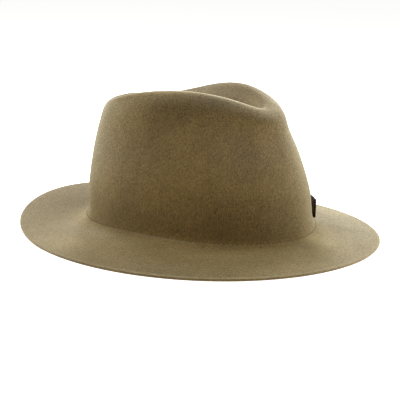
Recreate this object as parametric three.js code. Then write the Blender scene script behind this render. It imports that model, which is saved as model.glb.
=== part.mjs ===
// A felt hat with a teardrop crown, pinched at the front, and a snap brim, and a leather tab
// on the wearer's left. Crown and brim are one piece of felt, open underneath for the head.
// Millimetres and degrees. +Z is up, the front of the hat faces -Y, the wearer's left is +X.
// A turn is the angle round the crown: 0 at the front, 90 at the wearer's left, 180 at the back.

import * as THREE from 'three';

const FELT = 1.6;
const HALF_TURN = 180;
const UP = new THREE.Vector3(0, 0, 1);

// Outside of the crown where it meets the brim, and the curve between the two.
const BREAK_LINE = { halfLength: 103.2, halfWidth: 86.3, shift: 2.9, taper: -0.02 };
const BREAK_CURVE = 4;

// Cut edge of the brim. Its front and sides rest on the table, and the back is turned up.
const BRIM_EDGE = { halfLength: 158.8, halfWidth: 145.8, shift: 0, taper: -0.04 };
const BRIM = { restTurn: 103, backLift: 11, restBand: 5 };

// Heights above the table, a row for every 30 degrees from the front round to the back.
// Sag is how far the middle of the brim hangs below the straight way from edge to crown.
const AROUND = [
  { turn: 0, breakLine: 9.5, ridge: 111.2, dentFloor: 102, sag: 0.2 },
  { turn: 30, breakLine: 10.8, ridge: 115.7, dentFloor: 98, sag: 0.2 },
  { turn: 60, breakLine: 12.8, ridge: 122.3, dentFloor: 94, sag: 0 },
  { turn: 90, breakLine: 13.2, ridge: 121.7, dentFloor: 92, sag: -0.9 },
  { turn: 120, breakLine: 10, ridge: 113.9, dentFloor: 92, sag: 0.9 },
  { turn: 150, breakLine: 7.6, ridge: 107.8, dentFloor: 93, sag: 1.6 },
  { turn: 180, breakLine: 5, ridge: 108.5, dentFloor: 94, sag: 0.6 },
];

// Level sections of the crown wall. Rise is the share of the way from break line to ridge.
// Shift moves a section towards the front, and taper narrows its front and widens its back.
const WALL = [
  { rise: 0.28, halfLength: 100.4, halfWidth: 83.4, shift: 0.3, taper: -0.02 },
  { rise: 0.55, halfLength: 96.7, halfWidth: 73.5, shift: -2.3, taper: 0.02 },
  { rise: 0.78, halfLength: 90.6, halfWidth: 64, shift: -4.9, taper: 0.06 },
  { rise: 0.93, halfLength: 86.7, halfWidth: 54.5, shift: -6.4, taper: 0.09 },
];
const RIDGE = { halfLength: 73.4, halfWidth: 45.9, shift: -5.3, taper: 0.42 };

// Folds inside the teardrop, from the ridge (0) to the floor line on the middle of the hat (1).
const DENT = [
  { inward: 0.22, sink: 0.27 },
  { inward: 0.5, sink: 0.71 },
  { inward: 0.78, sink: 0.94 },
];
const DENT_FLOOR = { front: 52, back: -48 };

// Hollows on both sides of the crown: the pinches at the front, and the shallow ones that
// fingers leave beside them. Where each is, how far it spreads and how deep it is.
const HOLLOWS = [
  { turn: 36, spreadTurn: 16, rise: 0.8, spreadRise: 0.2, depth: 1.5 },
  { turn: 70, spreadTurn: 20, rise: 0.77, spreadRise: 0.16, depth: 1.8 },
];

// The leather tab is an upright strip bent round the crown from one turn to another. It lies
// against the felt along its lower edge, where the crown is widest.
const TAB = { fromTurn: 38.5, toTurn: 57, bottom: 14.8, height: 15.7, thickness: 1.6, corner: 2.5 };
const SEAT_GAP = 0.4;

// Facets round the hat, and between two neighbouring sections along a meridian.
const FACETS = { around: 84, betweenSections: 2, tabSeat: 8, tabCorner: 4, tabMiddle: 10 };
const WALL_STEPS = 240;

const WOOL_FELT = { name: 'wool_felt', color: '#8a7850', roughness: 0.95, metalness: 0 };
const BROWN_LEATHER = { name: 'brown_leather', color: '#2a1a0e', roughness: 0.55, metalness: 0 };

// A smooth even curve round the hat through one column of the AROUND table.
function roundTheHat(column) {
  const last = AROUND.length - 1;
  const share = (index) => (index === 0 || index === last ? 0.5 : 1);
  const terms = AROUND.map((_, order) => {
    const sum = AROUND.reduce((total, row, index) => {
      return total + share(index) * row[column] * Math.cos((order * index * Math.PI) / last);
    }, 0);
    return (2 / last) * share(order) * sum;
  });
  return (turn) => {
    const angle = THREE.MathUtils.degToRad(turn);
    return terms.reduce((total, term, order) => total + term * Math.cos(order * angle), 0);
  };
}

const breakHeight = roundTheHat('breakLine');
const ridgeHeight = roundTheHat('ridge');
const floorHeight = roundTheHat('dentFloor');
const brimSag = roundTheHat('sag');

// A point of a level section, or of the ridge, at a turn and a height.
function sectionPoint(section, turn, height) {
  const angle = THREE.MathUtils.degToRad(turn);
  const forward = section.halfLength * Math.cos(angle) + section.shift;
  const side = section.halfWidth * Math.sin(angle) * (1 - section.taper * Math.cos(angle));
  return new THREE.Vector3(side, -forward, height);
}

function backLift(turn) {
  const liftedTurn = Math.abs(turn) - BRIM.restTurn;
  return BRIM.backLift * THREE.MathUtils.smoothstep(liftedTurn, 0, HALF_TURN - BRIM.restTurn);
}

// How far a wall section is pushed in by the hollows.
function hollowDepth(turn, rise) {
  return HOLLOWS.reduce((total, hollow) => {
    const across = (Math.abs(turn) - hollow.turn) / hollow.spreadTurn;
    const upright = (rise - hollow.rise) / hollow.spreadRise;
    return total + hollow.depth * Math.exp(-across * across - upright * upright);
  }, 0);
}

// The point at a distance from one point on the way to another.
function stepTowards(from, to, distance) {
  return to.clone().sub(from).setLength(distance).add(from);
}

// Points on the upper face of the felt at one turn, from the cut edge to the dent's floor.
function meridianSections(turn) {
  const edge = sectionPoint(BRIM_EDGE, turn, FELT + backLift(turn));
  const foot = sectionPoint(BREAK_LINE, turn, breakHeight(turn));
  const band = stepTowards(edge, foot.clone().setZ(edge.z), BRIM.restBand);
  const brimMiddle = band.clone().lerp(foot, 0.5).addScaledVector(UP, -brimSag(turn));
  const wall = WALL.map((section) => {
    const height = THREE.MathUtils.lerp(breakHeight(turn), ridgeHeight(turn), section.rise);
    const point = sectionPoint(section, turn, height);
    return stepTowards(point, new THREE.Vector3(0, 0, height), hollowDepth(turn, section.rise));
  });
  const ridge = sectionPoint(RIDGE, turn, ridgeHeight(turn));
  const forward = THREE.MathUtils.mapLinear(
    Math.cos(THREE.MathUtils.degToRad(turn)), -1, 1, DENT_FLOOR.back, DENT_FLOOR.front,
  );
  const floor = new THREE.Vector3(0, -forward, floorHeight(turn));
  const dent = DENT.map(({ inward, sink }) => {
    const height = THREE.MathUtils.lerp(ridge.z, floor.z, sink);
    return ridge.clone().lerp(floor, inward).setZ(height);
  });
  const brim = [band, brimMiddle, stepTowards(foot, brimMiddle, BREAK_CURVE)];
  return { edge, brim, crown: [stepTowards(foot, wall[0], BREAK_CURVE), ...wall, ridge, ...dent, floor] };
}

// The same points on a smooth curve with more between them. The rest band stays straight.
function meridian(turn) {
  const { edge, brim, crown } = meridianSections(turn);
  const sections = [...brim, ...crown];
  const curve = new THREE.CatmullRomCurve3(sections, false, 'centripetal');
  return [edge, ...curve.getPoints(FACETS.betweenSections * (sections.length - 1))];
}

// One closed wall of felt. Its upper face is a grid of rings from the cut edge to the floor
// line, where the two sides of the last ring meet, and its lower face lies one thickness inside.
function feltWall() {
  const { around } = FACETS;
  const turns = Array.from({ length: around }, (_, column) => (2 * column / around - 1) * HALF_TURN);
  const meridians = turns.map(meridian);
  const rings = meridians[0].length;
  const isFloorLine = (ring) => ring === rings - 1;
  const columnsOf = (ring) => (isFloorLine(ring) ? around / 2 + 1 : around);
  const upper = [];
  for (let ring = 0; ring < rings; ring += 1) {
    meridians.slice(0, columnsOf(ring)).forEach((points) => upper.push(points[ring]));
  }
  const numberOf = (ring, column) => {
    const round = column % around;
    return ring * around + (isFloorLine(ring) ? Math.min(round, around - round) : round);
  };
  const join = (low, high, lowStart, highStart) => {
    const triangles = [];
    for (let column = 0; column < around; column += 1) {
      const [a, b] = [lowStart + numberOf(low, column), lowStart + numberOf(low, column + 1)];
      const [c, d] = [highStart + numberOf(high, column + 1), highStart + numberOf(high, column)];
      triangles.push(a, b, c, a, c, d);
    }
    return triangles;
  };

  const upperTriangles = [];
  for (let ring = 0; ring + 1 < rings; ring += 1) {
    upperTriangles.push(...join(ring, ring + 1, 0, 0));
  }
  const upperFace = new THREE.BufferGeometry().setFromPoints(upper).setIndex(upperTriangles);
  upperFace.computeVertexNormals();
  const normals = upperFace.getAttribute('normal');
  const lower = upper.map((point, index) => {
    const isRestBand = index < 2 * around;
    const normal = isRestBand ? UP : new THREE.Vector3().fromBufferAttribute(normals, index);
    return point.clone().addScaledVector(normal, -FELT);
  });

  const start = upper.length;
  const triangles = [...upperTriangles, ...join(0, 0, start, 0)];
  for (let ring = 0; ring + 1 < rings; ring += 1) {
    triangles.push(...join(ring + 1, ring, start, start));
  }
  return new THREE.BufferGeometry().setFromPoints([...upper, ...lower]).setIndex(triangles);
}

// The point of the felt's outer face at a turn and a height on the crown.
function wallPoint(turn, height) {
  const { brim, crown } = meridianSections(turn);
  const wall = new THREE.CatmullRomCurve3([...brim, ...crown], false, 'centripetal');
  const points = wall.getPoints(WALL_STEPS);
  const above = points.findIndex((point) => point.z >= height);
  const [from, to] = [points[above - 1], points[above]];
  return from.clone().lerp(to, (height - from.z) / (to.z - from.z));
}

// Where the tab's upright sections stand along its length, and how far its round corners
// draw them in at the top and bottom.
function tabColumns(length) {
  const { corner } = TAB;
  const { tabCorner, tabMiddle } = FACETS;
  const start = Array.from({ length: tabCorner }, (_, step) => {
    const angle = (step / tabCorner) * (Math.PI / 2);
    return { along: corner * (1 - Math.cos(angle)), inset: corner * (1 - Math.sin(angle)) };
  });
  const middle = Array.from({ length: tabMiddle + 1 }, (_, step) => {
    return { along: THREE.MathUtils.lerp(corner, length - corner, step / tabMiddle), inset: 0 };
  });
  const end = start.toReversed().map(({ along, inset }) => ({ along: length - along, inset }));
  return [...start, ...middle, ...end];
}

function tabStrip() {
  const { fromTurn, toTurn, bottom, height, thickness } = TAB;
  const turns = Array.from({ length: FACETS.tabSeat + 1 }, (_, step) => {
    return THREE.MathUtils.lerp(fromTurn, toTurn, step / FACETS.tabSeat);
  });
  const seat = new THREE.CatmullRomCurve3(turns.map((turn) => wallPoint(turn, bottom)));
  const length = seat.getLength();
  const points = tabColumns(length).flatMap(({ along, inset }) => {
    const foot = seat.getPointAt(along / length);
    const outward = seat.getTangentAt(along / length).cross(UP).normalize();
    const at = (away, rise) => foot.clone().addScaledVector(outward, away).addScaledVector(UP, rise);
    const [low, high] = [inset, height - inset];
    const [back, face] = [SEAT_GAP, SEAT_GAP + thickness];
    return [at(back, low), at(back, high), at(face, high), at(face, low)];
  });

  const sides = 4;
  const last = points.length - sides;
  const triangles = [0, 3, 2, 0, 2, 1, last, last + 1, last + 2, last, last + 2, last + 3];
  for (let column = 0; column < last; column += sides) {
    for (let side = 0; side < sides; side += 1) {
      const [a, b] = [column + side, column + ((side + 1) % sides)];
      triangles.push(a, b, b + sides, a, b + sides, a + sides);
    }
  }
  return new THREE.BufferGeometry().setFromPoints(points).setIndex(triangles);
}

function namedMesh(name, geometry, finish) {
  geometry.computeVertexNormals();
  const piece = new THREE.Mesh(geometry, new THREE.MeshStandardMaterial(finish));
  piece.name = name;
  return piece;
}

const feltBody = namedMesh('felt_body', feltWall(), WOOL_FELT);
const leatherTab = namedMesh('leather_tab', tabStrip(), BROWN_LEATHER);

const hat = new THREE.Group();
hat.add(feltBody, leatherTab);

export default hat;
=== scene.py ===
"""A soft felt hat with a teardrop crown and a snap brim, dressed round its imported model.

Lengths in the tables are millimetres and angles are degrees. A turn is the angle round the
crown: 0 at the front, 90 at the wearer's left, 180 at the back. +Z is up, the front faces -Y.
"""

from __future__ import annotations

import logging
import math
from dataclasses import dataclass, field
from enum import Enum

import bpy
import numpy as np
from mathutils import Matrix, Vector, noise

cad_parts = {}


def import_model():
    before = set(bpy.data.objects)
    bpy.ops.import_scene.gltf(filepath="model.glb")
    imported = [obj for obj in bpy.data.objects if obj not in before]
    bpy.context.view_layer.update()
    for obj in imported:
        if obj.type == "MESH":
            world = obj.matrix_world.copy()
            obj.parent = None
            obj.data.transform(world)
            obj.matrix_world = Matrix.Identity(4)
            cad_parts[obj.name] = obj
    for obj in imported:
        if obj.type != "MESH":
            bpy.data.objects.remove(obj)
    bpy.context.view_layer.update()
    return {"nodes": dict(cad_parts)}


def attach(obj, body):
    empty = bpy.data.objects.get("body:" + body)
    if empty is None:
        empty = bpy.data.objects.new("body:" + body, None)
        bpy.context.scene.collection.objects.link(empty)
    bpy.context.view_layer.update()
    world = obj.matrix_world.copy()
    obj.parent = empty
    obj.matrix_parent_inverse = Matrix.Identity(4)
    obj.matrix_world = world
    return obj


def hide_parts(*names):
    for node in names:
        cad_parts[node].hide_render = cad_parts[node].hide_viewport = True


LOG = logging.getLogger("felt_hat")
MM = 0.001
HALF_TURN = 180.0
BODY = "root"
Colour = tuple[float, float, float, float]

# The vertex colour that paints light and shade into the felt, as paler and darker patches.
PAINTED_LIGHT = "painted_light"

# Colours of the soft boxes: warm ones stand on the left and cool ones behind the hat.
WHITE = "#fffdf5"
WARM = "#fff1dc"
COOL = "#eef0ff"


def linear(hex_colour: str) -> Colour:
    """Turn an sRGB hex colour into the linear colour that a shader reads.

    Args:
        hex_colour: Six hex digits after a hash sign.

    Returns:
        Red, green, blue and alpha.
    """
    parts = [int(hex_colour[index : index + 2], 16) / 255 for index in (1, 3, 5)]
    curved = [part / 12.92 if part <= 0.04045 else ((part + 0.055) / 1.055) ** 2.4 for part in parts]
    return (*curved, 1.0)


def per_metre(size_mm: float) -> float:
    """Return how many pattern cells of a real size fit into a metre, for a texture's scale."""
    return 1.0 / (size_mm * MM)


def feed(tree: bpy.types.NodeTree, node: bpy.types.Node, inputs: dict) -> None:
    """Give the inputs of a node their links or plain values.

    Args:
        tree: The node tree that holds the node.
        node: The node.
        inputs: Input name or number to an output socket, or to a plain value.
    """
    for key, value in inputs.items():
        socket = node.inputs[key]
        if isinstance(value, bpy.types.NodeSocket):
            tree.links.new(value, socket)
        else:
            socket.default_value = value


def add_node(
    tree: bpy.types.NodeTree, kind: str, inputs: dict | None = None, **settings: object
) -> bpy.types.Node:
    """Add a node with its settings and its incoming values or links.

    Args:
        tree: The node tree that gets the node.
        kind: Blender's name of the node's type.
        inputs: Links and values, as in feed.
        **settings: Attributes of the node.

    Returns:
        The new node.
    """
    node = tree.nodes.new(kind)
    for name, value in settings.items():
        setattr(node, name, value)
    feed(tree, node, inputs or {})
    return node


def new_material(name: str) -> tuple[bpy.types.Material, bpy.types.Node, bpy.types.NodeSocket]:
    """Start a material whose patterns lie in the hat's own coordinates.

    Args:
        name: The material's name.

    Returns:
        The material, its shader, and the socket of the coordinates.
    """
    made = bpy.data.materials.new(name)
    made.use_nodes = True
    place = add_node(made.node_tree, "ShaderNodeTexCoord").outputs["Object"]
    return made, made.node_tree.nodes["Principled BSDF"], place


def cloud(
    tree: bpy.types.NodeTree, place: bpy.types.NodeSocket, cell_mm: float, detail: float = 2.0
) -> bpy.types.NodeSocket:
    """Add a noise pattern.

    Args:
        tree: Tree that gets the node.
        place: Socket of the coordinates.
        cell_mm: Size of a cell.
        detail: Number of finer layers in it.

    Returns:
        The socket of the pattern, from 0 to 1.
    """
    inputs = {"Vector": place, "Scale": per_metre(cell_mm), "Detail": detail}
    return add_node(tree, "ShaderNodeTexNoise", inputs).outputs["Fac"]


def colour_ramp(
    tree: bpy.types.NodeTree, tone: bpy.types.NodeSocket, stops: list[tuple[float, Colour]]
) -> bpy.types.NodeSocket:
    """Add a ramp through colours.

    Args:
        tree: Tree that gets the ramp.
        tone: Socket with the tone, from 0 to 1.
        stops: Place on the ramp and colour, in rising order.

    Returns:
        The socket of the colour.
    """
    ramp = add_node(tree, "ShaderNodeValToRGB", {"Fac": tone})
    elements = ramp.color_ramp.elements
    elements[0].position, elements[0].color = stops[0]
    elements[1].position, elements[1].color = stops[-1]
    for position, colour in stops[1:-1]:
        elements.new(position).color = colour
    return ramp.outputs[0]


def relief(
    tree: bpy.types.NodeTree, height: bpy.types.NodeSocket, depth_mm: float, strength: float = 1.0
) -> bpy.types.NodeSocket:
    """Add the bump of a pattern.

    Args:
        tree: Tree that gets the node.
        height: Socket with the pattern's height, from 0 to 1.
        depth_mm: How far the height of 1 stands up.
        strength: Share of the bump that shows.

    Returns:
        The socket of the bent normal.
    """
    inputs = {"Height": height, "Distance": depth_mm * MM, "Strength": strength}
    return add_node(tree, "ShaderNodeBump", inputs).outputs[0]


def product(
    tree: bpy.types.NodeTree, first: bpy.types.NodeSocket, second: bpy.types.NodeSocket
) -> bpy.types.NodeSocket:
    """Return the socket of the product of two colours."""
    inputs = {"Factor": 1.0, 6: first, 7: second}
    return add_node(tree, "ShaderNodeMix", inputs, data_type="RGBA", blend_type="MULTIPLY").outputs[2]


def smooth_step(share: np.ndarray) -> np.ndarray:
    """Return the smooth 0 to 1 ramp over a share, held at both ends."""
    held = np.clip(share, 0.0, 1.0)
    return held * held * (3 - 2 * held)


def unit(vectors: np.ndarray) -> np.ndarray:
    """Return the vectors with length one."""
    return vectors / np.maximum(np.linalg.norm(vectors, axis=-1, keepdims=True), 1e-9)


def direction(azimuth: float, elevation: float) -> Vector:
    """Turn a camera's or light's angles into a direction.

    Args:
        azimuth: Angle round the hat, 0 in front of it and 90 on the wearer's left.
        elevation: Angle above level.

    Returns:
        The unit vector from the hat towards the camera or light.
    """
    turned, raised = math.radians(azimuth), math.radians(elevation)
    level = math.cos(raised)
    return Vector((math.sin(turned) * level, -math.cos(turned) * level, math.sin(raised)))


def catmull_rom(stations: np.ndarray, steps: list[int]) -> np.ndarray:
    """Run a centripetal Catmull-Rom curve through stations, for many meridians at once.

    Args:
        stations: Points as station, meridian, coordinate.
        steps: Number of steps between each two stations.

    Returns:
        Points as ring, meridian, coordinate.
    """
    before = 2 * stations[:1] - stations[1:2]
    after = 2 * stations[-1:] - stations[-2:-1]
    points = np.concatenate([before, stations, after])
    knots = np.sqrt(np.linalg.norm(np.diff(points, axis=0), axis=-1, keepdims=True))
    rings = []
    for index, count in enumerate(steps):
        p0, p1, p2, p3 = points[index : index + 4]
        t1 = knots[index]
        t2 = t1 + knots[index + 1]
        t3 = t2 + knots[index + 2]
        for step in range(count):
            t = t1 + (t2 - t1) * step / count
            a1 = ((t1 - t) * p0 + t * p1) / t1
            a2 = ((t2 - t) * p1 + (t - t1) * p2) / (t2 - t1)
            a3 = ((t3 - t) * p2 + (t - t2) * p3) / (t3 - t2)
            b1 = ((t2 - t) * a1 + t * a2) / t2
            b2 = ((t3 - t) * a2 + (t - t1) * a3) / (t3 - t1)
            rings.append(((t2 - t) * b1 + (t - t1) * b2) / (t2 - t1))
    return np.array([*rings, stations[-1]])


def vertex_normals(points: np.ndarray, quads: np.ndarray) -> np.ndarray:
    """Average the area-weighted normals of the faces round each point.

    Args:
        points: Vertex positions.
        quads: Four vertex numbers a face.

    Returns:
        One unit normal a vertex.
    """
    a, b, c, d = (points[quads[:, corner]] for corner in range(4))
    faces = np.cross(c - a, d - b)
    total = np.zeros_like(points)
    for corner in range(4):
        np.add.at(total, quads[:, corner], faces)
    return unit(total)


def mesh_object(name: str, points_mm: np.ndarray, faces: list | np.ndarray) -> bpy.types.Object:
    """Make a smooth-shaded mesh object at the origin from points in millimetres.

    Args:
        name: The piece's name.
        points_mm: Vertex positions in millimetres.
        faces: Vertex numbers of each face.

    Returns:
        The linked object.
    """
    mesh = bpy.data.meshes.new(name)
    mesh.from_pydata((np.asarray(points_mm) * MM).tolist(), [], [list(map(int, face)) for face in faces])
    mesh.polygons.foreach_set("use_smooth", np.ones(len(mesh.polygons), bool))
    mesh.validate()
    piece = bpy.data.objects.new(name, mesh)
    bpy.context.scene.collection.objects.link(piece)
    return piece


@dataclass(frozen=True)
class AroundRow:
    """Heights above the table at one turn, and how far the middle of the brim sags there."""

    turn: float
    break_line: float
    ridge: float
    dent_floor: float
    sag: float


@dataclass(frozen=True)
class LevelSection:
    """A level oval of the hat. Rise is its share of the way from break line to ridge."""

    half_length: float
    half_width: float
    shift: float = 0.0
    taper: float = 0.0
    rise: float = 0.0


@dataclass(frozen=True)
class DentFold:
    """A fold in the teardrop: how far inwards from the ridge, and how far it has sunk."""

    inward: float
    sink: float


@dataclass(frozen=True)
class Hollow:
    """The hollow that a thumb or a finger leaves on each side of the crown."""

    turn: float
    spread_turn: float
    rise: float
    spread_rise: float
    depth: float


@dataclass(frozen=True)
class HatForm:
    """The shape of the felt's upper face, from the cut edge of the brim to the dent's floor."""

    felt: float = 1.6
    break_curve: float = 4.0
    rest_turn: float = 103.0
    back_lift: float = 11.0
    rest_band: float = 5.0
    floor_front: float = 52.0
    floor_back: float = -48.0
    break_line: LevelSection = LevelSection(103.2, 86.3, 2.9, -0.02)
    brim_edge: LevelSection = LevelSection(158.8, 145.8, 0.0, -0.04)
    ridge: LevelSection = LevelSection(73.4, 45.9, -5.3, 0.42)
    hollows: tuple[Hollow, ...] = (Hollow(36, 16, 0.8, 0.2, 1.5), Hollow(70, 20, 0.77, 0.16, 1.8))
    around: tuple[AroundRow, ...] = (
        AroundRow(0, 9.5, 111.2, 102, 0.2),
        AroundRow(30, 10.8, 115.7, 98, 0.2),
        AroundRow(60, 12.8, 122.3, 94, 0.0),
        AroundRow(90, 13.2, 121.7, 92, -0.9),
        AroundRow(120, 10.0, 113.9, 92, 0.9),
        AroundRow(150, 7.6, 107.8, 93, 1.6),
        AroundRow(180, 5.0, 108.5, 94, 0.6),
    )
    wall: tuple[LevelSection, ...] = (
        LevelSection(100.4, 83.4, 0.3, -0.02, rise=0.28),
        LevelSection(96.7, 73.5, -2.3, 0.02, rise=0.55),
        LevelSection(90.6, 64, -4.9, 0.06, rise=0.78),
        LevelSection(86.7, 54.5, -6.4, 0.09, rise=0.93),
    )
    dent: tuple[DentFold, ...] = (DentFold(0.22, 0.27), DentFold(0.5, 0.71), DentFold(0.78, 0.94))

    def heights(self, column: str, turns: np.ndarray) -> np.ndarray:
        """Follow one column of the table round the hat on a smooth even curve.

        Args:
            column: A field of AroundRow.
            turns: The turns, in degrees.

        Returns:
            The height at each turn.
        """
        values = np.array([getattr(row, column) for row in self.around])
        row_turns = np.radians([row.turn for row in self.around])
        last = len(values) - 1
        index = np.arange(last + 1)
        share = np.where((index == 0) | (index == last), 0.5, 1.0)
        terms = 2 / last * share * (np.cos(np.outer(index, row_turns)) @ (share * values))
        return terms @ np.cos(np.outer(index, np.radians(turns)))

    def oval(self, section: LevelSection, turns: np.ndarray, heights: np.ndarray) -> np.ndarray:
        """Place points on a level section, or on the ridge.

        Args:
            section: The oval.
            turns: Turn of each point.
            heights: Height of each point.

        Returns:
            One point a turn.
        """
        cosine = np.cos(np.radians(turns))
        forward = section.half_length * cosine + section.shift
        side = section.half_width * np.sin(np.radians(turns)) * (1 - section.taper * cosine)
        return np.stack([side, -forward, heights + 0 * turns], axis=-1)

    def hollow_depth(self, turns: np.ndarray, rise: float) -> np.ndarray:
        """Work out how far the hollows push in a wall section.

        Args:
            turns: The turns.
            rise: The section's share of the way from break line to ridge.

        Returns:
            The depth at each turn.
        """
        depth = 0 * turns
        for hollow in self.hollows:
            across = (np.abs(turns) - hollow.turn) / hollow.spread_turn
            upright = (rise - hollow.rise) / hollow.spread_rise
            depth = depth + hollow.depth * np.exp(-across * across - upright * upright)
        return depth

    def brim_stations(self, turns: np.ndarray) -> list[np.ndarray]:
        """Place the sections of the brim.

        Args:
            turns: The turns.

        Returns:
            Cut edge, rest band, middle and start of the break.
        """
        lifted = (np.abs(turns) - self.rest_turn) / (HALF_TURN - self.rest_turn)
        level = self.felt + self.back_lift * smooth_step(lifted)
        edge = self.oval(self.brim_edge, turns, level)
        foot = self.oval(self.break_line, turns, self.heights("break_line", turns))
        level_foot = np.concatenate([foot[:, :2], edge[:, 2:]], axis=-1)
        band = edge + self.rest_band * unit(level_foot - edge)
        middle = (band + foot) / 2
        middle[:, 2] -= self.heights("sag", turns)
        return [edge, band, middle, foot + self.break_curve * unit(middle - foot)]

    def crown_stations(self, turns: np.ndarray) -> list[np.ndarray]:
        """Place the sections of the crown.

        Args:
            turns: The turns.

        Returns:
            End of the break, the wall sections, ridge, the folds of the dent and its floor.
        """
        low = self.heights("break_line", turns)
        high = self.heights("ridge", turns)
        walls = []
        for section in self.wall:
            points = self.oval(section, turns, low + (high - low) * section.rise)
            inward = -unit(points * (1, 1, 0))
            walls.append(points + inward * self.hollow_depth(turns, section.rise)[:, None])
        foot = self.oval(self.break_line, turns, low)
        ridge = self.oval(self.ridge, turns, high)
        share = (np.cos(np.radians(turns)) + 1) / 2
        forward = self.floor_back + (self.floor_front - self.floor_back) * share
        sunk = self.heights("dent_floor", turns)
        floor = np.stack([0 * forward, -forward, sunk], axis=-1)
        folds = []
        for fold in self.dent:
            points = ridge + (floor - ridge) * fold.inward
            points[:, 2] = high + (sunk - high) * fold.sink
            folds.append(points)
        return [foot + self.break_curve * unit(walls[0] - foot), *walls, ridge, *folds, floor]

    def wall_point(self, turn: float, height: float, fineness: int = 30) -> np.ndarray:
        """Find the point of the crown's outer wall at a turn and a height.

        Args:
            turn: The turn, in degrees.
            height: Height above the table.
            fineness: Number of steps between each two sections.

        Returns:
            One point in millimetres.
        """
        one = np.array([turn])
        stations = np.array([*self.brim_stations(one)[1:], *self.crown_stations(one)])
        points = catmull_rom(stations, [fineness] * (len(stations) - 1))[:, 0]
        points = points[: int(np.argmax(points[:, 2])) + 1]
        return np.array([np.interp(height, points[:, 2], points[:, axis]) for axis in range(3)])


@dataclass(frozen=True)
class NapLayer:
    """One layer of the felt's mottle.

    A cell is a fibre or a tuft. The stretch draws it out along the axes of the hat, and the
    weight is its share of the light and dark.
    """

    cell_mm: float
    weight: float
    stretch: tuple[float, float, float] = (1.0, 1.0, 1.0)
    detail: float = 2.0


@dataclass(frozen=True)
class PaintedLightPatch:
    """A soft patch of painted light or painted shade, where the felt is drawn paler or darker.

    The place runs from -1 at the edge of the brim through 0 at the break and 1 at the ridge
    to 2 in the middle of the dent. The lift is in stops of painted light. The warmth is how far
    the painted light leans to yellow brown.
    """

    turn: float
    place: float
    spread_turn: float
    spread_place: float
    lift: float
    light_warmth: float = 0.0


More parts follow.
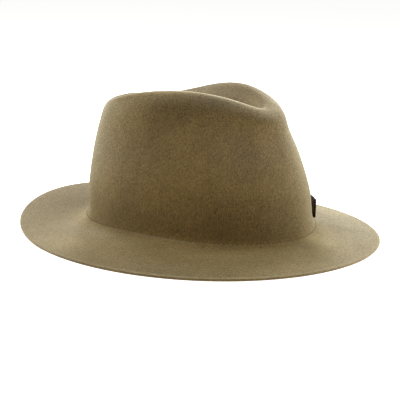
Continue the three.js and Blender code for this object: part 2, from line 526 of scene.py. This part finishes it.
@dataclass(frozen=True)
class WoolFelt:
    """Wool felt, blocked with steam over a wooden form and brushed: matt, with a short nap.

    The eye sees a fine mottle of crossed fibres, a faint cloudiness where the nap was brushed
    one way or the other, and a soft pale bloom where light comes from behind. Paler and darker
    patches, held in a vertex colour, add painted light and shade.
    """

    dark: str = "#504022"
    middle: str = "#6a5530"
    light: str = "#82693c"
    warm: str = "#fff7f3"
    cool: str = "#f5fef8"
    hue_mm: float = 1.4
    hue_ends: tuple[float, float] = (0.35, 0.65)
    relief_mm: float = 0.15
    roughness: float = 0.95
    shine: float = 0.2
    sheen: float = 1.0
    sheen_roughness: float = 0.5
    bloom_dark: str = "#b8b298"
    bloom: str = "#e7e0bf"
    bloom_light: str = "#fff7d3"
    layers: tuple[NapLayer, ...] = (
        NapLayer(0.6, 1.4, (1.0, 0.3, 0.7)),
        NapLayer(0.6, 1.4, (0.3, 1.0, 0.7)),
        NapLayer(0.7, 1.4, (0.8, 0.8, 0.25)),
        NapLayer(2.2, 0.15, detail=3.0),
        NapLayer(8.0, 0.35),
        NapLayer(38.0, 0.4),
    )
    # Painted light and shade: paler patches paint highlights, such as the bright line along the near
    # ridge, and darker ones paint shade, such as the band all round the break.
    painted_patches: tuple[PaintedLightPatch, ...] = (
        PaintedLightPatch(-31, 0.21, 40, 0.14, -0.53),
        PaintedLightPatch(-45, 0.23, 8, 0.14, -0.20),
        PaintedLightPatch(-92, 0.19, 13, 0.10, -0.19),
        PaintedLightPatch(-81, 0.58, 8, 0.13, -0.28),
        PaintedLightPatch(-59, 0.55, 9, 0.23, 0.12),
        PaintedLightPatch(-15, 0.68, 8, 0.15, 0.33),
        PaintedLightPatch(-73, 0.78, 19, 0.12, -0.58),
        PaintedLightPatch(-124, 0.77, 16, 0.12, -0.29),
        PaintedLightPatch(-56, 0.86, 55, 0.08, -0.24),
        PaintedLightPatch(-89, 0.99, 22, 0.09, 0.55),
        PaintedLightPatch(-75, 1.05, 45, 0.06, 0.85),
        PaintedLightPatch(-36, 1.01, 42, 0.04, 1.3),
        PaintedLightPatch(-52, 0.93, 24, 0.05, -0.45),
        PaintedLightPatch(43, 1.22, 16, 0.14, 0.34),
        PaintedLightPatch(-39, 1.42, 90, 0.30, 0.85),
        PaintedLightPatch(0, 0.0, 400, 0.03, -0.35),
        PaintedLightPatch(-63, -0.07, 15, 0.18, 0.50),
        PaintedLightPatch(0, -0.08, 18, 0.58, -0.12),
        PaintedLightPatch(-2, -0.30, 4, 0.11, -0.30),
        PaintedLightPatch(10, -0.28, 6, 0.27, 0.23),
        PaintedLightPatch(13, -0.23, 8, 0.34, 0.45),
        PaintedLightPatch(37, -0.50, 6, 0.29, -0.23),
        PaintedLightPatch(-13, -0.78, 6, 0.20, 0.16),
        PaintedLightPatch(-23, -0.90, 17, 0.21, 0.33),
        PaintedLightPatch(-73, -0.67, 90, 0.60, 0.09),
        PaintedLightPatch(-110, -0.36, 7, 0.14, 0.21),
        PaintedLightPatch(-102, -0.63, 10, 0.29, 0.40),
        PaintedLightPatch(-113, -0.94, 6, 0.15, 0.15),
        PaintedLightPatch(-121, -0.20, 20, 0.21, 0.55),
        PaintedLightPatch(-134, -0.04, 9, 0.20, 0.47),
        PaintedLightPatch(-155, -0.41, 15, 0.17, -0.13),
        PaintedLightPatch(-169, -0.52, 33, 0.30, -0.32),
        PaintedLightPatch(50, -1.10, 55, 0.59, 0.40),
        PaintedLightPatch(69, -0.79, 13, 0.60, 0.16),
        PaintedLightPatch(70, -1.0, 60, 0.06, 0.35),
        # These patches only tint the painted light warmer or cooler, standing in for the colour of the
        # light falling there.
        PaintedLightPatch(-61, -0.20, 90, 0.54, 0.0, 1.28),
        PaintedLightPatch(-31, 0.56, 23, 0.19, 0.0, -0.99),
        PaintedLightPatch(-94, 0.78, 37, 0.17, 0.0, 0.75),
        PaintedLightPatch(-105, -0.32, 28, 0.27, 0.0, -0.86),
        PaintedLightPatch(-60, -0.08, 23, 0.15, 0.0, -1.15),
        PaintedLightPatch(48, -0.52, 43, 0.50, 0.0, -0.38),
    )
    # Stops of red, green and blue that a warmth of 1 adds to the painted light.
    painted_tint_stops: tuple[float, float, float] = (0.08, 0.0, -0.3)
    # Painted shade on the lower corner of the brim's cut edge, as factors on red, green and blue.
    cut_edge_shade: tuple[float, float, float] = (0.55, 0.57, 0.72)

    def painted_light(self, turns: np.ndarray, places: np.ndarray) -> np.ndarray:
        """Return how many times paler the painted light makes the felt, in red, green and blue.

        Args:
            turns: Turn of each vertex.
            places: Place of each vertex, as in PaintedLightPatch.

        Returns:
            One row a vertex.
        """
        lift = np.zeros((len(turns), 3))
        for patch in self.painted_patches:
            across = ((turns - patch.turn + HALF_TURN) % (2 * HALF_TURN) - HALF_TURN) / patch.spread_turn
            along = (places - patch.place) / patch.spread_place
            share = np.exp(-across * across - along * along)
            lift += share[:, None] * (patch.lift + patch.light_warmth * np.array(self.painted_tint_stops))
        return 2**lift

    def material(self) -> bpy.types.Material:
        """Build the felt's material.

        Returns:
            A material on Object coordinates.
        """
        made, shader, place = new_material("brushed_wool_felt")
        tree = made.node_tree
        tone = 0.5 - 0.5 * sum(layer.weight for layer in self.layers)
        for layer in self.layers:
            drawn = add_node(tree, "ShaderNodeMapping", {"Vector": place, "Scale": layer.stretch})
            cells = cloud(tree, drawn.outputs[0], layer.cell_mm, layer.detail)
            inputs = {0: cells, 1: layer.weight, 2: tone}
            tone = add_node(tree, "ShaderNodeMath", inputs, operation="MULTIPLY_ADD").outputs[0]
        # The vertex colour of painted light and shade, which scales both the base colour and the sheen's
        # tint.
        painted_shading = add_node(tree, "ShaderNodeAttribute", attribute_name=PAINTED_LIGHT).outputs["Color"]
        fibres = self.shades(tree, tone, (self.dark, self.middle, self.light))
        bloom = self.shades(tree, tone, (self.bloom_dark, self.bloom, self.bloom_light))
        hues = list(zip(self.hue_ends, (linear(self.warm), linear(self.cool))))
        dyed = product(tree, fibres, colour_ramp(tree, cloud(tree, place, self.hue_mm), hues))
        inputs = {
            "Base Color": product(tree, dyed, painted_shading),
            "Normal": relief(tree, tone, self.relief_mm),
            "Roughness": self.roughness,
            "Specular IOR Level": self.shine,
            "Sheen Weight": self.sheen,
            "Sheen Roughness": self.sheen_roughness,
            "Sheen Tint": product(tree, bloom, painted_shading),
        }
        feed(tree, shader, inputs)
        return made

    def shades(
        self, tree: bpy.types.NodeTree, tone: bpy.types.NodeSocket, colours: tuple[str, str, str]
    ) -> bpy.types.NodeSocket:
        """Return the socket of a ramp through a dark, a middle and a light colour."""
        return colour_ramp(tree, tone, list(zip((0.0, 0.5, 1.0), map(linear, colours))))


@dataclass(frozen=True)
class BrownLeather:
    """Vegetable-tanned cowhide, dyed nearly black brown and pressed smooth, with a fine grain."""

    dark: str = "#261404"
    light: str = "#482b0e"
    polish: str = "#8a5c34"
    grain_mm: float = 0.7
    grain_depth_mm: float = 0.12
    grain_strength: float = 0.6
    cloud_mm: float = 4.0
    cloud_ends: tuple[float, float] = (0.35, 0.7)
    roughness: float = 0.6
    shine: float = 0.2

    def material(self) -> bpy.types.Material:
        """Build the leather's material.

        Returns:
            A material on Object coordinates.
        """
        made, shader, place = new_material("dyed_brown_leather")
        tree = made.node_tree
        inputs = {"Vector": place, "Scale": per_metre(self.grain_mm), "Randomness": 1.0}
        grain = add_node(tree, "ShaderNodeTexVoronoi", inputs, feature="SMOOTH_F1").outputs["Distance"]
        browns = list(zip(self.cloud_ends, (linear(self.dark), linear(self.light))))
        inputs = {
            "Base Color": colour_ramp(tree, cloud(tree, place, self.cloud_mm, 3.0), browns),
            "Normal": relief(tree, grain, self.grain_depth_mm, self.grain_strength),
            "Roughness": self.roughness,
            "Specular IOR Level": self.shine,
            "Specular Tint": linear(self.polish),
        }
        feed(tree, shader, inputs)
        return made


@dataclass(frozen=True)
class SewingThread:
    """Waxed polyester thread, twisted from plies: a slight shine along a matt cord."""

    name: str
    colour: str
    ply_mm: float = 0.4
    ply_shade: float = 0.6
    roughness: float = 0.6

    def material(self) -> bpy.types.Material:
        """Build the thread's material.

        Returns:
            A material on Object coordinates.
        """
        made, shader, place = new_material(self.name)
        tree = made.node_tree
        light = linear(self.colour)
        dark = (*[part * self.ply_shade for part in light[:3]], 1.0)
        plies = colour_ramp(tree, cloud(tree, place, self.ply_mm), [(0.0, dark), (1.0, light)])
        feed(tree, shader, {"Base Color": plies, "Roughness": self.roughness})
        return made


@dataclass
class FeltBody:
    """Crown and brim: one closed wall of felt.

    The mesh is made of rings round the hat, from the edge of the brim to the middle of the
    dent, and the steps say how many lie between each two sections. build() also sets the line
    of the break, foot_points and foot_normals, for the seam that lies in it.
    """

    form: HatForm
    finish: WoolFelt
    columns: int = 320
    brim_steps: tuple[int, ...] = (16, 14, 12)
    crown_steps: tuple[int, ...] = (6, 9, 9, 7, 6, 7, 9, 8, 6)
    band_steps: int = 3
    edge_round: float = 0.7
    groove: float = 0.35
    groove_spread: float = 0.9
    groove_rings: int = 6
    handling: float = 0.35
    handling_mm: float = 45.0
    handling_fade_rings: int = 10
    seam_lift: float = 0.1
    foot_points: np.ndarray = field(init=False)
    foot_normals: np.ndarray = field(init=False)

    def turns(self) -> np.ndarray:
        """Return the turn of each column of the mesh, from the back round to the back."""
        return (2 * np.arange(self.columns) / self.columns - 1) * HALF_TURN

    def rings(self) -> tuple[np.ndarray, int]:
        """Lay out the upper face.

        Returns:
            The rings of points, and the number of the ring in the middle of the break.
        """
        turns = self.turns()
        edge, band, *brim = self.form.brim_stations(turns)
        inward = unit(band - edge)
        first = edge + inward * self.edge_round
        flat = [first + (band - first) * step / self.band_steps for step in range(self.band_steps)]
        stations = np.array([band, *brim, *self.form.crown_stations(turns)])
        curved = catmull_rom(stations, [*self.brim_steps, *self.crown_steps])
        foot_ring = self.band_steps + sum(self.brim_steps[:-1]) + self.brim_steps[-1] // 2
        return np.concatenate([np.array(flat), curved]), foot_ring

    def numbers(self, ring: int, last: int) -> np.ndarray:
        """List the vertices of a ring. The two sides of the last ring meet.

        Args:
            ring: Number of the ring.
            last: Number of the last ring.

        Returns:
            One vertex number a column.
        """
        column = np.arange(self.columns)
        if ring == last:
            column = np.minimum(column, self.columns - column)
        return ring * self.columns + column

    def strip(self, low: np.ndarray, high: np.ndarray) -> np.ndarray:
        """Return the faces between two rings that run the same way round."""
        return np.stack([low, np.roll(low, -1), np.roll(high, -1), high], axis=-1)

    def build(self) -> bpy.types.Object:
        """Build the felt wall and dress it.

        Returns:
            The piece, which stands for the model's felt.
        """
        rings, foot_ring = self.rings()
        last = len(rings) - 1
        upper = np.concatenate([rings[:last].reshape(-1, 3), rings[last][: self.columns // 2 + 1]])
        rows = [self.numbers(ring, last) for ring in range(last + 1)]
        faces = [self.strip(rows[ring], rows[ring + 1]) for ring in range(last)]
        normals = vertex_normals(upper, np.concatenate(faces))
        fixed = self.columns * (self.band_steps + 1)
        upper = self.handled(upper, normals, fixed)
        upper = self.creased(upper, normals, rows, foot_ring)
        normals = vertex_normals(upper, np.concatenate(faces))
        self.foot_points = upper[rows[foot_ring]]
        self.foot_normals = normals[rows[foot_ring]]
        inside = normals.copy()
        inside[:fixed] = (0, 0, 1)
        lower = upper - inside * self.form.felt
        outward = unit((upper[rows[0]] - upper[rows[1]]) * (1, 1, 0))
        rim_top = upper[rows[0]] + outward * self.edge_round - (0, 0, self.edge_round)
        rim_foot = lower[rows[0]] + outward * self.edge_round + (0, 0, self.edge_round)
        start = len(upper)
        top_row = np.arange(self.columns) + 2 * start
        foot_row = top_row + self.columns
        faces += [self.strip(rows[ring + 1] + start, rows[ring] + start) for ring in range(last)]
        faces += [self.strip(rows[0] + start, foot_row)]
        faces += [self.strip(foot_row, top_row), self.strip(top_row, rows[0])]
        points = np.concatenate([upper, lower, rim_top, rim_foot])
        piece = mesh_object("felt_shell", points, np.concatenate(faces))
        # Painted light and shade go into a vertex colour: the patches on the upper face and the rim's
        # top corner, with painted shade added on the rim's lower corner; the underside stays plain.
        light_paint = piece.data.attributes.new(PAINTED_LIGHT, "FLOAT_COLOR", "POINT")
        top = self.painted_shading(last, foot_ring)
        edge = top[: self.columns]
        light = np.concatenate([top, np.ones_like(top), edge, edge * self.finish.cut_edge_shade])
        light_paint.data.foreach_set("color", np.c_[light, np.ones(len(light))].ravel())
        piece.data.materials.append(self.finish.material())
        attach(piece, BODY)
        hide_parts("felt_body")
        return piece

    def painted_shading(self, last: int, foot_ring: int) -> np.ndarray:
        """Return the painted light and shade at each vertex of the upper face, as how many times paler.

        Args:
            last: The ring in the middle of the dent.
            foot_ring: The ring in the middle of the break.

        Returns:
            Red, green and blue of each vertex, 1 for the plain felt.
        """
        ridge_ring = last - sum(self.crown_steps[-len(self.form.dent) - 1 :])
        marks = (0, foot_ring, ridge_ring, last)
        places = np.interp(np.arange(last + 1), marks, (-1.0, 0.0, 1.0, 2.0))
        turns = np.tile(self.turns(), last + 1)
        light = self.finish.painted_light(turns, np.repeat(places, self.columns))
        return light[: last * self.columns + self.columns // 2 + 1]

    def handled(self, points: np.ndarray, normals: np.ndarray, fixed: int) -> np.ndarray:
        """Give the felt the slight unevenness of hand blocking, away from the rest band.

        Args:
            points: Upper face.
            normals: Its normals.
            fixed: Number of vertices that keep their place.

        Returns:
            The moved points.
        """
        waves = np.array([noise.noise(Vector(point) / self.handling_mm) for point in points])
        waves[:fixed] = 0
        fade = smooth_step((np.arange(len(points)) - fixed) / (self.columns * self.handling_fade_rings))
        return points + normals * (waves * self.handling * fade)[:, None]

    def creased(
        self, points: np.ndarray, normals: np.ndarray, rows: list[np.ndarray], foot_ring: int
    ) -> np.ndarray:
        """Press a fine groove into the break, where the seam pulls the felt in.

        Args:
            points: Upper face.
            normals: Its normals.
            rows: Vertex numbers of each ring.
            foot_ring: The ring in the middle of the break.

        Returns:
            The moved points.
        """
        foot = points[rows[foot_ring]]
        moved = points.copy()
        for ring in range(foot_ring - self.groove_rings, foot_ring + self.groove_rings + 1):
            away = np.linalg.norm(points[rows[ring]] - foot, axis=-1) / self.groove_spread
            depth = self.groove * np.exp(-away * away)
            moved[rows[ring]] -= normals[rows[ring]] * depth[:, None]
        return moved

    def seam_line(self) -> np.ndarray:
        """Return the line of the seam in the break, once the felt is built."""
        return self.foot_points + self.foot_normals * self.seam_lift


class ThreadWork(Enum):
    """The two seams of the hat, named for what they hold."""

    BREAK_SEAM = "break_seam"
    TAB_SEAM = "tab_seam"


@dataclass
class StitchRow:
    """A row of stitches along a closed line, made by a node tree that repeats one stitch."""

    work: ThreadWork
    path_mm: np.ndarray
    thread: SewingThread
    stitch: float
    gap: float
    radius: float
    bead_segments: int = 8
    bead_rings: int = 6

    def tree(self, material: bpy.types.Material) -> bpy.types.NodeTree:
        """Build the node tree that lays stitches along the line that it is given.

        Args:
            material: The thread's material.

        Returns:
            The node tree, with the sizes of a stitch as its inputs.
        """
        tree = bpy.data.node_groups.new(f"{self.work.value}_stitches", "GeometryNodeTree")
        tree.interface.new_socket("Geometry", in_out="INPUT", socket_type="NodeSocketGeometry")
        for name in ("Stitch length", "Stitch gap", "Thread radius"):
            tree.interface.new_socket(name, in_out="INPUT", socket_type="NodeSocketFloat")
        tree.interface.new_socket("Geometry", in_out="OUTPUT", socket_type="NodeSocketGeometry")
        given = add_node(tree, "NodeGroupInput").outputs
        length, thick = given["Stitch length"], given["Thread radius"]
        inputs = {0: length, 1: given["Stitch gap"]}
        pitch = add_node(tree, "ShaderNodeMath", inputs, operation="ADD").outputs[0]
        line = add_node(tree, "GeometryNodeMeshToCurve", {"Mesh": given["Geometry"]})
        inputs = {"Curve": line.outputs["Curve"], "Length": pitch}
        spaced = add_node(tree, "GeometryNodeResampleCurve", inputs, mode="LENGTH")
        inputs = {"Segments": self.bead_segments, "Rings": self.bead_rings, "Radius": 1.0}
        bead = add_node(tree, "GeometryNodeMeshUVSphere", inputs)
        inputs = {"Vector": add_node(tree, "GeometryNodeInputTangent").outputs[0]}
        facing = add_node(tree, "FunctionNodeAlignRotationToVector", inputs, axis="X")
        half = add_node(tree, "ShaderNodeMath", {0: length, 1: 0.5}, operation="MULTIPLY").outputs[0]
        size = add_node(tree, "ShaderNodeCombineXYZ", {0: half, 1: thick, 2: thick})
        inputs = {
            "Points": spaced.outputs["Curve"],
            "Instance": bead.outputs["Mesh"],
            "Rotation": facing.outputs[0],
            "Scale": size.outputs[0],
        }
        laid = add_node(tree, "GeometryNodeInstanceOnPoints", inputs).outputs[0]
        for kind, inputs in (
            ("GeometryNodeRealizeInstances", {}),
            ("GeometryNodeSetShadeSmooth", {"Shade Smooth": True}),
            ("GeometryNodeSetMaterial", {"Material": material}),
        ):
            laid = add_node(tree, kind, {"Geometry": laid, **inputs}).outputs[0]
        add_node(tree, "NodeGroupOutput", {"Geometry": laid})
        return tree

    def build(self) -> bpy.types.Object:
        """Lay the stitches.

        Returns:
            The whole row as one plain mesh object.
        """
        count = len(self.path_mm)
        guide = bpy.data.meshes.new(f"{self.work.value}_line")
        edges = [(index, (index + 1) % count) for index in range(count)]
        guide.from_pydata((self.path_mm * MM).tolist(), edges, [])
        holder = bpy.data.objects.new(guide.name, guide)
        bpy.context.scene.collection.objects.link(holder)
        tree = self.tree(self.thread.material())
        modifier = holder.modifiers.new("stitches", "NODES")
        modifier.node_group = tree
        sizes = {"Stitch length": self.stitch, "Stitch gap": self.gap, "Thread radius": self.radius}
        for item in tree.interface.items_tree:
            if item.in_out == "INPUT" and item.name in sizes:
                modifier[item.identifier] = sizes[item.name] * MM
        bpy.context.view_layer.update()
        evaluated = holder.evaluated_get(bpy.context.evaluated_depsgraph_get())
        mesh = bpy.data.meshes.new_from_object(evaluated)
        bpy.data.objects.remove(holder)
        mesh.name = self.work.value
        piece = bpy.data.objects.new(self.work.value, mesh)
        bpy.context.scene.collection.objects.link(piece)
        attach(piece, BODY)
        return piece


@dataclass
class LeatherTab:
    """An upright leather strip bent round the foot of the crown, sewn round its edge."""

    form: HatForm
    finish: BrownLeather
    from_turn: float = 38.5
    to_turn: float = 57.0
    bottom: float = 14.0
    height: float = 16.5
    thickness: float = 1.6
    corner: float = 2.5
    seat_gap: float = 0.4
    bevel: float = 0.35
    bevel_bend: float = 0.3
    least_corner: float = 0.3
    seam_inset: float = 2.0
    seam_depth: float = 0.25
    seam_step: float = 0.3
    seam_side: float = 0.6
    face_inset: float = 4.0
    face_swell: float = 0.08
    seat_points: int = 60
    corner_points: int = 8
    middle_points: int = 24

    def seat(self) -> tuple[np.ndarray, np.ndarray]:
        """Follow the crown's wall along the foot of the strip.

        Returns:
            The line that the strip stands on, and the distance along it at each point.
        """
        turns = np.linspace(self.from_turn, self.to_turn, self.seat_points)
        points = np.array([self.form.wall_point(turn, self.bottom) for turn in turns])
        steps = np.linalg.norm(np.diff(points, axis=0), axis=-1)
        return points, np.concatenate([[0.0], np.cumsum(steps)])

    def outline(self, length: float, inset: float) -> np.ndarray:
        """Return the rounded outline, moved inwards, as points along and up the strip.

        Args:
            length: Length of the strip.
            inset: How far inside the cut edge the outline lies.

        Returns:
            The lower half from start to end, then the upper half back to the start.
        """
        radius = max(self.corner - inset, self.least_corner)
        angles = np.radians(np.linspace(0, 90, self.corner_points + 1))
        along = inset + radius * (1 - np.cos(angles))
        rise = inset + radius * (1 - np.sin(angles))
        middle = np.linspace(along[-1], length - along[-1], self.middle_points + 1)[1:-1]
        lower = np.concatenate(
            [
                np.stack([along, rise], axis=-1),
                np.stack([middle, np.full_like(middle, rise[-1])], axis=-1),
                np.stack([length - along[::-1], rise[::-1]], axis=-1),
            ]
        )
        upper = lower[::-1] * (1, -1) + (0, self.height)
        return np.concatenate([lower, upper])

    def bent(self, flat: np.ndarray, depth: float) -> np.ndarray:
        """Bend points of the flat strip round the crown.

        Args:
            flat: Distances along and up the strip.
            depth: Height above the strip's back.

        Returns:
            The points in the hat's frame.
        """
        line, reach = self.seat()
        foot = np.stack([np.interp(flat[:, 0], reach, line[:, axis]) for axis in range(3)], axis=-1)
        slope = np.gradient(line, reach, axis=0)
        along = np.stack([np.interp(flat[:, 0], reach, slope[:, axis]) for axis in range(3)], axis=-1)
        outward = unit(np.cross(along, (0.0, 0.0, 1.0)))
        return foot + outward * (self.seat_gap + depth) + flat[:, 1:] * (0.0, 0.0, 1.0)

    def profile(self) -> list[tuple[float, float]]:
        """Draw the half section of the strip.

        Returns:
            Inset from the cut edge and height above the back: the rounded edge, the pressed
            seam and the slightly swollen face.
        """
        face, bevel = self.thickness, self.bevel
        bend = bevel * self.bevel_bend
        edge = [(bevel, 0.0), (bend, bend), (0.0, bevel), (0.0, face - bevel), (bend, face - bend)]
        seam = [
            (self.seam_inset + step * self.seam_step, face - self.seam_depth * share)
            for step, share in enumerate((0.0, self.seam_side, 1.0, self.seam_side, 0.0), -2)
        ]
        return [*edge, (bevel, face), *seam, (self.face_inset, face + self.face_swell)]

    def build(self) -> bpy.types.Object:
        """Build the strip with rounded edges and a pressed seam line.

        Returns:
            The piece, which stands for the model's tab.
        """
        length = self.seat()[1][-1]
        loops = [self.bent(self.outline(length, inset), depth) for inset, depth in self.profile()]
        count = len(loops[0])
        numbers = np.arange(count)
        faces = []
        for index in range(len(loops) - 1):
            low = numbers + index * count
            high = low + count
            faces += np.stack([low, np.roll(low, -1), np.roll(high, -1), high], axis=-1).tolist()
        lower = numbers[: count // 2]
        upper = numbers[::-1][: count // 2]
        cap = np.stack([lower[:-1], lower[1:], upper[1:], upper[:-1]], axis=-1)
        faces += (cap[:, ::-1]).tolist() + (cap + (len(loops) - 1) * count).tolist()
        piece = mesh_object("leather_strip", np.concatenate(loops), faces)
        piece.data.materials.append(self.finish.material())
        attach(piece, BODY)
        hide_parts("leather_tab")
        return piece

    def seam_line(self, spacing: float = 0.5) -> np.ndarray:
        """Follow the seam on the strip's face.

        Args:
            spacing: Distance between points.

        Returns:
            The points of the closed line.
        """
        length = self.seat()[1][-1]
        loop = self.bent(self.outline(length, self.seam_inset), self.thickness - self.seam_depth * 0.5)
        closed = np.concatenate([loop, loop[:1]])
        reach = np.concatenate([[0], np.cumsum(np.linalg.norm(np.diff(closed, axis=0), axis=-1))])
        stops = np.arange(0, reach[-1], spacing)
        return np.stack([np.interp(stops, reach, closed[:, axis]) for axis in range(3)], axis=-1)


@dataclass
class PhotoCamera:
    """The camera, at the photograph's angle to the hat.

    It looks at a point that lies look_right and look_up of the middle of the hat's foot.
    """

    azimuth: float = -49.88
    elevation: float = 13.12
    roll: float = -1.41
    distance: float = 936.5
    look_right: float = 2.99
    look_up: float = 24.74
    focal: float = 98.58
    sensor: float = 36.0

    def build(self) -> None:
        """Place the camera and make it the scene's own."""
        back = direction(self.azimuth, self.elevation)
        right = direction(self.azimuth + 90, 0)
        up = back.cross(right)
        target = right * self.look_right + Vector((0, 0, self.look_up))
        turned = Matrix((right, up, back)).transposed().to_4x4()
        turned = turned @ Matrix.Rotation(-math.radians(self.roll), 4, "Z")
        turned.translation = (target + back * self.distance) * MM
        data = bpy.data.cameras.new("photo_camera")
        data.sensor_width = self.sensor
        data.lens = self.focal
        camera = bpy.data.objects.new("photo_camera", data)
        bpy.context.scene.collection.objects.link(camera)
        camera.matrix_world = turned
        bpy.context.scene.camera = camera


@dataclass(frozen=True)
class SoftBox:
    """A square soft light.

    Its azimuth is counted from the camera's side of the hat, its size is in metres and its
    power in watts.
    """

    name: str
    azimuth: float
    elevation: float
    size: float
    power: float
    colour: str = WHITE


@dataclass
class Studio:
    """A pale floor lit like a light table, soft lights round the hat and a dim surround.

    The floor's reach, the lights' distance and the height that they aim at are in metres.
    """

    camera_azimuth: float
    surround: float = 0.07
    floor_colour: str = "#f4f4f2"
    floor_glow: float = 1.0
    floor_roughness: float = 0.9
    floor_reach: float = 12.0
    light_distance: float = 1.6
    aim_height: float = 0.06
    boxes: tuple[SoftBox, ...] = (
        SoftBox("top_box", 0, 89, 1.6, 3.0),
        SoftBox("front_right_box", 45, 50, 0.9, 2.7),
        SoftBox("front_right_low_box", 45, 18, 0.9, 3.7),
        SoftBox("back_box", 180, 50, 0.9, 12.9, COOL),
        SoftBox("back_left_wide_box", -135, 50, 0.9, 2.8),
        SoftBox("right_box", 90, 50, 0.9, 5.0),
        SoftBox("left_box", -90, 50, 0.9, 3.0, WARM),
        SoftBox("rim_right_box", 110, 8, 0.35, 5.1),
        SoftBox("rim_left_box", -110, 8, 0.35, 4.2, WARM),
        SoftBox("back_low_box", 180, 28, 0.3, 8.3, COOL),
        SoftBox("back_left_box", -160, 45, 0.3, 7.1, COOL),
        SoftBox("back_right_box", 160, 45, 0.3, 4.2),
        SoftBox("back_edge_box", 180, 12, 0.3, 6.8, COOL),
    )

    def build(self) -> None:
        """Build the floor, the lights and the surround."""
        scene = bpy.context.scene
        scene.view_settings.view_transform = "Standard"
        world = bpy.data.worlds.new("studio_surround")
        world.use_nodes = True
        background = world.node_tree.nodes["Background"]
        feed(world.node_tree, background, {"Color": (1, 1, 1, 1), "Strength": self.surround})
        scene.world = world
        corners = np.array([(-1, -1, 0), (1, -1, 0), (1, 1, 0), (-1, 1, 0)])
        floor = mesh_object("studio_floor", corners * (self.floor_reach / MM), [(0, 1, 2, 3)])
        paint = bpy.data.materials.new("pale_floor")
        paint.use_nodes = True
        inputs = {
            "Base Color": linear(self.floor_colour),
            "Roughness": self.floor_roughness,
            "Emission Color": linear(self.floor_colour),
            "Emission Strength": self.floor_glow,
        }
        feed(paint.node_tree, paint.node_tree.nodes["Principled BSDF"], inputs)
        floor.data.materials.append(paint)
        for box in self.boxes:
            self.lit(box)

    def lit(self, box: SoftBox) -> None:
        """Hang one soft light and turn it towards the hat.

        Args:
            box: The light.
        """
        away = direction(self.camera_azimuth + box.azimuth, box.elevation)
        data = bpy.data.lights.new(box.name, "AREA")
        data.size = box.size
        data.energy = box.power
        data.color = linear(box.colour)[:3]
        light = bpy.data.objects.new(box.name, data)
        light.location = Vector((0, 0, self.aim_height)) + away * self.light_distance
        light.rotation_euler = away.to_track_quat("Z", "Y").to_euler()
        bpy.context.scene.collection.objects.link(light)


def main() -> None:
    """Build the camera, the hat's pieces and the studio, and report each piece."""
    logging.basicConfig(level=logging.INFO, format="%(name)s: %(message)s")
    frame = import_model()
    LOG.info("the frame holds %d nodes", len(frame["nodes"]))
    camera = PhotoCamera()
    camera.build()
    form = HatForm()
    felt = FeltBody(form, WoolFelt())
    tab = LeatherTab(form, BrownLeather())
    pieces = [felt.build(), tab.build()]
    olive = SewingThread("olive_thread", "#8f7c54")
    brown = SewingThread("brown_thread", "#4a3220")
    seams = (
        StitchRow(ThreadWork.BREAK_SEAM, felt.seam_line(), olive, stitch=3.0, gap=0.7, radius=0.3),
        StitchRow(ThreadWork.TAB_SEAM, tab.seam_line(), brown, stitch=2.2, gap=0.6, radius=0.28),
    )
    pieces += [seam.build() for seam in seams]
    for piece in pieces:
        LOG.info("%s: %d faces", piece.name, len(piece.data.polygons))
    Studio(camera.azimuth).build()


if __name__ == "__main__":
    main()
